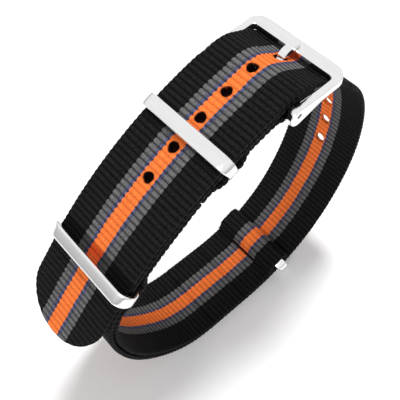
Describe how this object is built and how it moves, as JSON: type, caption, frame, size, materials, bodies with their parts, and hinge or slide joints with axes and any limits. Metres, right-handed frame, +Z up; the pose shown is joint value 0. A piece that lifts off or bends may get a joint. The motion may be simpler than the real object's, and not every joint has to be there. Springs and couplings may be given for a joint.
{
  "type": "nato watch strap",
  "caption": "Striped woven one-piece watch strap, buckled into a loop, with a pin buckle, spring bar and metal keepers.",
  "frame": {"origin": "on the resting plane, under the middle of the loop", "axes": "+X along the loop towards the buckle, +Y across the webbing, +Z up from the resting plane"},
  "size_m": [0.0738, 0.0212, 0.0683],
  "materials": {
    "webbing": "woven nylon, matt sheen",
    "polished_steel": "polished",
    "brushed_steel": "turned"
  },
  "bodies": {
    "strap": {"main_strap": "webbing", "short_strap": "webbing"},
    "buckle": {"buckle_frame": "polished_steel", "spring_bar_tube": "brushed_steel", "spring_bar_spring": "brushed_steel"},
    "tongue": {"buckle_tongue": "polished_steel"},
    "near_plunger": {"spring_bar_plunger_near": "brushed_steel"},
    "far_plunger": {"spring_bar_plunger_far": "brushed_steel"},
    "first_keeper": {"upper_keeper": "polished_steel"},
    "second_keeper": {"lower_keeper": "polished_steel"},
    "last_keeper": {"end_keeper": "polished_steel"}
  },
  "joints": [
    {"name": "buckle_swing", "type": "hinge", "parent": "strap", "child": "buckle", "pos_m": [0.01043, 0, 0.06499], "axis": [0, -1, 0], "range_deg": [0, 2]},
    {"name": "tongue_swing", "type": "hinge", "parent": "buckle", "child": "tongue", "pos_m": [0.01043, 0, 0.06499], "axis": [0, -1, 0], "range_deg": [0, 1.5]},
    {"name": "near_plunger_press", "type": "slide", "parent": "buckle", "child": "near_plunger", "axis": [0, 1, 0], "range_m": [0, 0.001], "stiffness_N_per_m": 150, "deforming": ["spring_bar_spring"]},
    {"name": "far_plunger_press", "type": "slide", "parent": "buckle", "child": "far_plunger", "axis": [0, -1, 0], "range_m": [0, 0.001], "stiffness_N_per_m": 150, "deforming": ["spring_bar_spring"]},
    {"name": "first_keeper_tilt", "type": "hinge", "parent": "strap", "child": "first_keeper", "pos_m": [-0.00284, 0, 0.06044], "axis": [0, 1, 0], "range_deg": [-4, 4]},
    {"name": "second_keeper_tilt", "type": "hinge", "parent": "strap", "child": "second_keeper", "pos_m": [-0.02394, 0, 0.04481], "axis": [0, 1, 0], "range_deg": [-4, 4]},
    {"name": "last_keeper_tilt", "type": "hinge", "parent": "strap", "child": "last_keeper", "pos_m": [0.01697, 0, 0.00527], "axis": [0, 1, 0], "range_deg": [-4, 4]}
  ]
}
